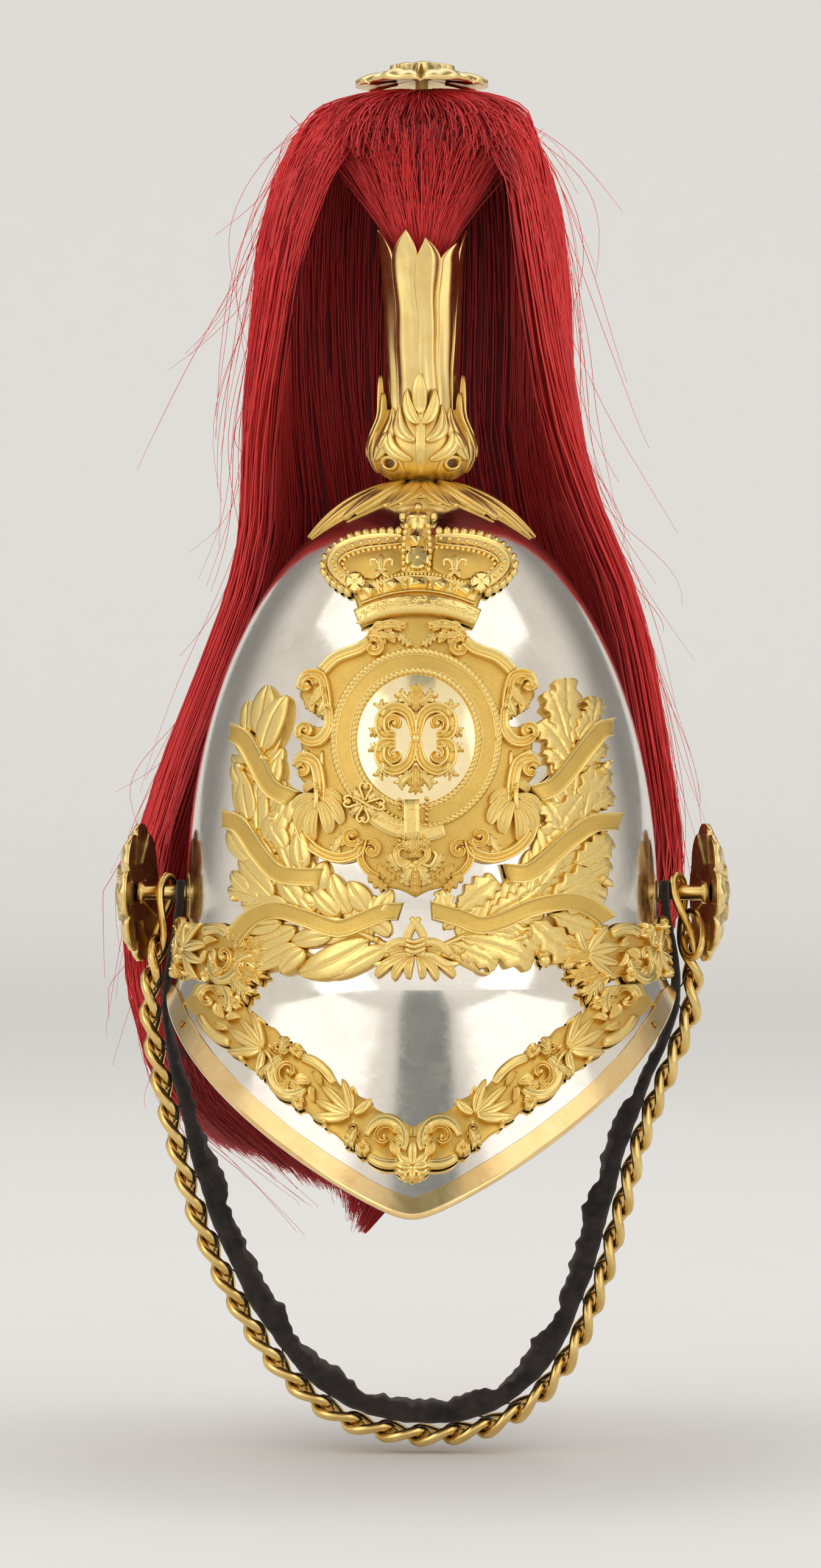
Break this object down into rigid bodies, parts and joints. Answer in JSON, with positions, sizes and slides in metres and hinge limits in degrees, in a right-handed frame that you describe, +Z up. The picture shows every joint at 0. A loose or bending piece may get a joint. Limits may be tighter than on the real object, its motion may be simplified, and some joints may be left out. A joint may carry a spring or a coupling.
{
  "type": "cavalry helmet",
  "caption": "Dress cavalry helmet with polished metal skull, pointed front peak, gilt badge and wreath, falling horsehair plume and a backed curb chin chain on ear rosettes.",
  "frame": {"origin": "middle of the head opening, in the plane where skull and peaks meet", "axes": "+Z up along the skull's axis, -Y to the front (the pointed peak), +X to the viewer's right"},
  "size_m": [0.2371, 0.348, 0.5393],
  "materials": {
    "polished_silver": "polished German silver with faint swirl marks",
    "gilt": "gilt stamping, matt in the hollows and burnished on the high points",
    "frosted_gilt": "frosted, finely stippled gilt",
    "burnished_gilt": "burnished gilt",
    "brass_fixings": "plain worn brass",
    "liner_leather": "tan lining leather",
    "lace": "twisted cotton lace",
    "binding_thread": "waxed thread wound on the hair",
    "horsehair": "dyed horsehair with a soft sheen",
    "velvet": "black velvet over padding, oversewn edges"
  },
  "bodies": {
    "helmet": {"skull_shell": "polished_silver", "front_peak": "polished_silver", "neck_peak": "polished_silver", "front_peak_edging": "gilt", "neck_peak_edging": "gilt", "edging_rivets": "gilt", "base_band": "gilt", "peak_band_left": "gilt", "peak_band_right": "gilt", "peak_palmette": "gilt", "crown_badge": "gilt", "cartouche_plate": "frosted_gilt", "garter_strap": "frosted_gilt", "garter_buckle": "burnished_gilt", "badge_mirror": "burnished_gilt", "badge_ornament": "gilt", "laurel_branch": "gilt", "oak_branch": "gilt", "honour_ribbons_left": "gilt", "honour_ribbons_right": "gilt", "wreath_tie": "gilt", "badge_posts": "brass_fixings", "badge_nuts": "brass_fixings", "crown_base_plate": "gilt", "acanthus_bulb": "gilt", "plume_holder": "burnished_gilt", "socket_tube": "brass_fixings", "crown_washer": "brass_fixings", "crown_nut": "brass_fixings", "ear_stud_left": "brass_fixings", "ear_stud_right": "brass_fixings", "ear_stud_nuts": "brass_fixings", "sweatband": "liner_leather", "liner_tongues": "liner_leather", "liner_lace": "lace"},
    "chin_chain": {"ear_rosette_left": "gilt", "ear_rosette_right": "gilt", "chain_links": "gilt", "chain_backing": "velvet", "chain_end_loops": "gilt", "chain_end_ring": "gilt"},
    "plume": {"plume_rod": "brass_fixings", "plume_binding": "binding_thread", "hair_fan": "horsehair", "hair_fall": "horsehair"},
    "top_rosette": {"top_rosette": "gilt"}
  },
  "joints": [
    {"name": "chin_chain_swing", "type": "hinge", "parent": "helmet", "child": "chin_chain", "pos_m": [0, 0.016, 0.0335], "axis": [1, 0, 0], "range_deg": [-15, 22]},
    {"name": "plume_lift", "type": "slide", "parent": "helmet", "child": "plume", "axis": [0, 0, 1], "range_m": [0, 0.095]},
    {"name": "top_rosette_turn", "type": "hinge", "parent": "plume", "child": "top_rosette", "pos_m": [0, 0, 0.35], "axis": [0, 0, 1], "continuous": true}
  ]
}
